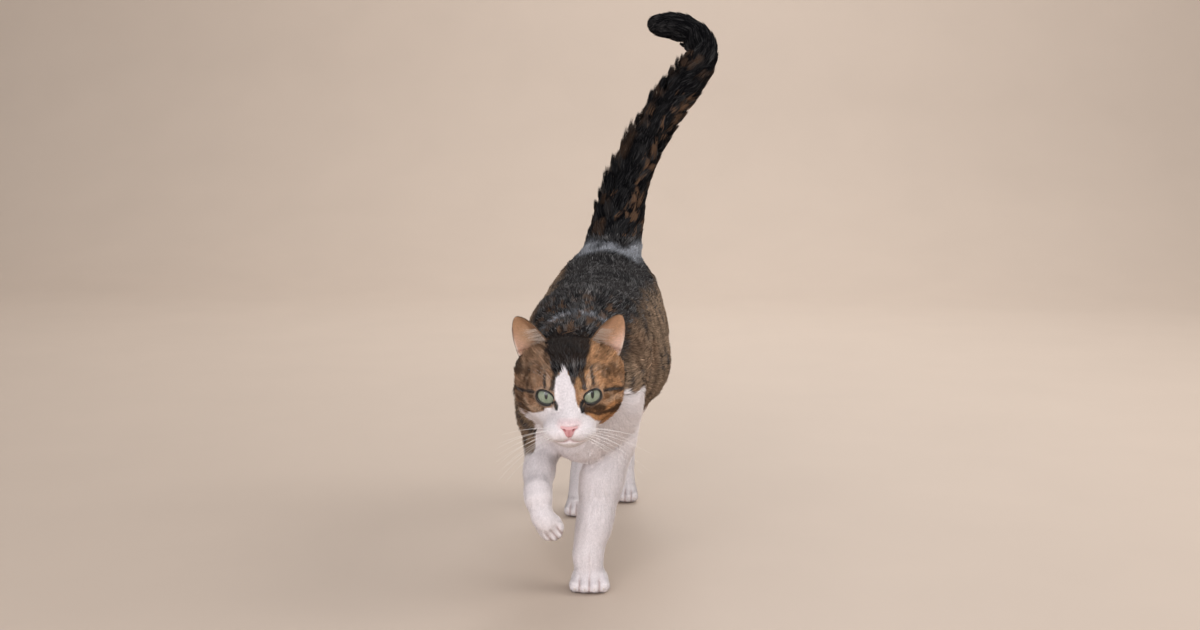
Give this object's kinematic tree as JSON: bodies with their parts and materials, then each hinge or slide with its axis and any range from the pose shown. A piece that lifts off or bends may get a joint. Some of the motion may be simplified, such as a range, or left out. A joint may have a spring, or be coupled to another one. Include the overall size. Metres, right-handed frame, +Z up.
{
  "type": "cat",
  "caption": "Tabby-and-white shorthaired cat walking with its tail up and one forepaw lifted, a still life-size figure of the living animal.",
  "frame": {"origin": "on the floor, under the middle of the cat's bounding box", "axes": "+Z up, the cat faces -Y, and its left side is towards +X"},
  "size_m": [0.1714, 0.4556, 0.4957],
  "materials": {
    "coat_white": "short soft fur, white",
    "coat_tabby": "short soft fur, brown-grey with dark stripes",
    "coat_black": "soft fur, black with brown-grey bands",
    "coat_ginger": "very short fur, ginger-brown, over thin pink skin",
    "nose_leather": "bare moist pink skin",
    "eye": "wet, pale green iris with a dark upright pupil",
    "bare_skin": "thin pink skin, as on the lids, lips, ears and pads",
    "whisker": "stiff white hair",
    "claw": "translucent pale horn"
  },
  "bodies": {
    "root": {"head": "coat_white", "nose": "nose_leather", "ear_left": "coat_ginger", "ear_right": "coat_ginger", "eye_left": "eye", "eye_right": "eye", "neck": "coat_tabby", "torso": "coat_tabby", "foreleg_left": "coat_white", "foreleg_right": "coat_white", "forepaw_left": "coat_white", "forepaw_right": "coat_white", "hindleg_left": "coat_tabby", "hindleg_right": "coat_tabby", "hindpaw_left": "coat_white", "hindpaw_right": "coat_white", "tail_base": "coat_black", "tail_middle": "coat_black", "tail_tip": "coat_black"}
  },
  "joints": []
}
